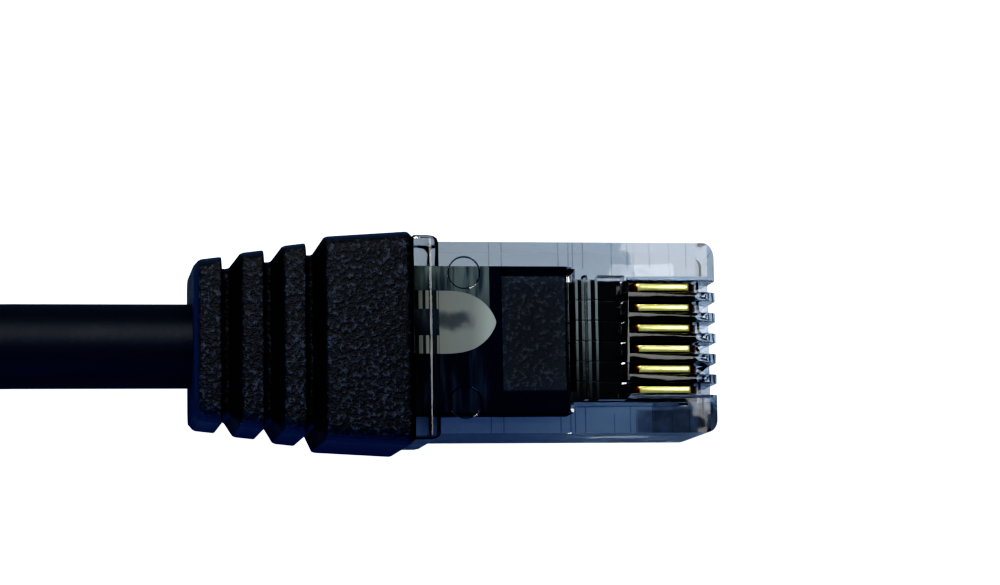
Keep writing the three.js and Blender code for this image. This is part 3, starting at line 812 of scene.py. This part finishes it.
def strap_material():
    material, tree, shader = new_material("woven strap", (0.012, 0.013, 0.016), 0.8)
    place = tree.nodes.new("ShaderNodeTexCoord").outputs["Object"]
    waves = []
    for direction in ("X", "Y"):
        wave = tree.nodes.new("ShaderNodeTexWave")
        wave.bands_direction = direction
        wave.inputs["Scale"].default_value = 500
        link(tree, place, wave.inputs["Vector"])
        waves.append(wave.outputs["Fac"])
    weave = math_node(tree, "MULTIPLY", *waves)
    colour = mix_colour(tree, weave, (0.006, 0.007, 0.009), (0.03, 0.032, 0.036))
    link(tree, colour, shader.inputs["Base Color"])
    add_bump(tree, shader, weave, 0.00008)
    return material


strap = softened("hank_tie", "hank_strap", 0.3 * MM, 3)
strap.data.materials.clear()
strap.data.materials.append(strap_material())

# The far end is a type-A plug: a moulded PVC grip, a folded nickel-plated shell, a white
# insulator tongue and four gold contacts. It lies on the hank.


def nickel_material():
    material, tree, shader = new_material("nickel plate", (0.62, 0.61, 0.59), 0.24)
    shader.inputs["Metallic"].default_value = 1
    smear = noise_node(tree, 240.0, 3.0)
    roughness = tree.nodes.new("ShaderNodeMapRange")
    link(tree, smear, roughness.inputs["Value"])
    roughness.inputs["To Min"].default_value = 0.2
    roughness.inputs["To Max"].default_value = 0.3
    link(tree, roughness.outputs["Result"], shader.inputs["Roughness"])
    link(tree, mix_colour(tree, smear, (0.6, 0.59, 0.57), (0.66, 0.65, 0.64)), shader.inputs["Base Color"])
    return material


def insulator_material():
    material, tree, shader = new_material("white insulator", (0.8, 0.8, 0.77), 0.45)
    link(tree, mix_colour(tree, noise_node(tree, 900.0, 2.0), (0.74, 0.74, 0.71), (0.84, 0.84, 0.81)),
         shader.inputs["Base Color"])
    return material


GRIP_LOW, GRIP_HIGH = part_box("usb_overmould")
GROOVE = 0.9 * MM
GROOVE_STEP = 1.9 * MM
GRIP_GROOVE_DEPTH = 0.5 * MM
RELIEF_GROOVE_DEPTH = 0.7 * MM
RELIEF_RADIUS = 3.2 * MM
RELIEF_REACH = 4 * MM
SIDE_GROOVE_HALF = 1.8 * MM
PLUG_AXIS = (GRIP_LOW.z + GRIP_HIGH.z) / 2
grip_grooves = [
    ((x, x + GROOVE), (y - GRIP_GROOVE_DEPTH, y + GRIP_GROOVE_DEPTH), (GRIP_LOW.z + MM, GRIP_HIGH.z - MM))
    for y in (-GRIP_HIGH.y, GRIP_HIGH.y)
    for x in (GRIP_HIGH.x - 7 * MM - k * GROOVE_STEP for k in range(6))
]
groove_floor, outside = RELIEF_RADIUS - RELIEF_GROOVE_DEPTH, RELIEF_RADIUS + MM
relief_grooves = [
    ((x, x + GROOVE), y_range, z_range)
    for x in (GRIP_LOW.x + 1.2 * MM + k * GROOVE_STEP for k in range(3))
    for y_range, z_range in (
        ((-RELIEF_REACH, RELIEF_REACH), (PLUG_AXIS + groove_floor, PLUG_AXIS + outside)),
        ((-RELIEF_REACH, RELIEF_REACH), (PLUG_AXIS - outside, PLUG_AXIS - groove_floor)),
        ((groove_floor, outside), (PLUG_AXIS - SIDE_GROOVE_HALF, PLUG_AXIS + SIDE_GROOVE_HALF)),
        ((-outside, -groove_floor), (PLUG_AXIS - SIDE_GROOVE_HALF, PLUG_AXIS + SIDE_GROOVE_HALF)),
    )
]
grip = softened("usb_overmould", "usb_grip", 0.22 * MM, 2, 30, grooves=grip_grooves + relief_grooves)
shell = softened("usb_shell", "usb_metal_shell", 0.12 * MM, 3)
insulator = softened("usb_tongue", "usb_insulator", 0.1 * MM, 2)
for piece, material, slot_name in (
    (grip, boot_material("grained grip", 0.2, 0.00004), "boot_pvc"),
    (shell, nickel_material(), "nickel_shell"),
    (insulator, insulator_material(), "white_insulator"),
):
    piece.data.materials.clear()
    piece.data.materials.append(material)
strip_gold = gold_material("gold strip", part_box("usb_contact_1"))
for number in range(1, 5):
    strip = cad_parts[f"usb_contact_{number}"]
    strip.data.materials.clear()
    strip.data.materials.append(strip_gold)

# The names of the pieces that sit on the cord, listed once the strap and the plug on it are made.
on_the_cord = ["hank_strap", "usb_grip", "usb_metal_shell", "usb_insulator"]
on_the_cord += [f"usb_contact_{number}" for number in range(1, 5)]

# The stage is a plain white table in a dim blue to grey surround. A large soft lamp stands above
# the far side, a blue one low at the near left, and a small one shines on the contacts.
table_data = bpy.data.meshes.new("table")
table_data.from_pydata([(-1, -1, 0), (1, -1, 0), (1, 1, 0), (-1, 1, 0)], [], [(0, 1, 2, 3)])
table = bpy.data.objects.new("table", table_data)
scene.collection.objects.link(table)


def table_material():
    material, tree, shader = new_material("white table", (0.3, 0.34, 0.38), 0.9)
    light = tree.nodes.new("ShaderNodeLightPath")
    shader.inputs["Emission Color"].default_value = (1, 1, 1, 1)
    link(tree, light.outputs["Is Camera Ray"], shader.inputs["Emission Strength"])
    return material


table_data.materials.append(table_material())


def surround():
    world = bpy.data.worlds.new("surround")
    scene.world = world
    world.use_nodes = True
    tree = world.node_tree
    back = tree.nodes["Background"]
    way = tree.nodes.new("ShaderNodeTexCoord").outputs["Generated"]
    split = tree.nodes.new("ShaderNodeSeparateXYZ")
    link(tree, way, split.inputs["Vector"])
    side = math_node(tree, "ADD", math_node(tree, "MULTIPLY", split.outputs["X"], 0.35), split.outputs["Y"])
    sky = mix_colour(tree, ramp(tree, side, -0.7, 0.5), (0.07, 0.16, 0.38), (0.19, 0.21, 0.24))
    link(tree, mix_colour(tree, ramp(tree, split.outputs["Z"], 0.4, 0.95), sky, (0.22, 0.235, 0.25)),
         back.inputs["Color"])
    back.inputs["Strength"].default_value = 1


surround()


def soft_lamp(name, place, size, power, colour):
    data = bpy.data.lights.new(name, "AREA")
    data.shape = "SQUARE"
    data.size = size
    data.energy = power
    data.color = colour
    lamp = bpy.data.objects.new(name, data)
    lamp.location = place
    lamp.rotation_euler = (-Vector(place)).to_track_quat("-Z", "Y").to_euler()
    scene.collection.objects.link(lamp)


soft_lamp("key", (-0.12, 0.26, 0.4), 0.16, 2.2, (1.0, 0.98, 0.95))
soft_lamp("blue fill", (-0.2, -0.32, 0.12), 0.2, 0.9, (0.25, 0.48, 1.0))
soft_lamp("above the contacts", (0.136, 0.068, 0.4), 0.1, 0.12, (1.0, 0.99, 0.97))

scene.view_settings.view_transform = "Standard"
scene.view_settings.look = "None"
scene.view_settings.use_curve_mapping = True
tone = scene.view_settings.curve_mapping
for level, shown in ((0.045, 0.008), (0.15, 0.1), (0.4, 0.4)):
    tone.curves[3].points.new(level, shown)
tone.update()
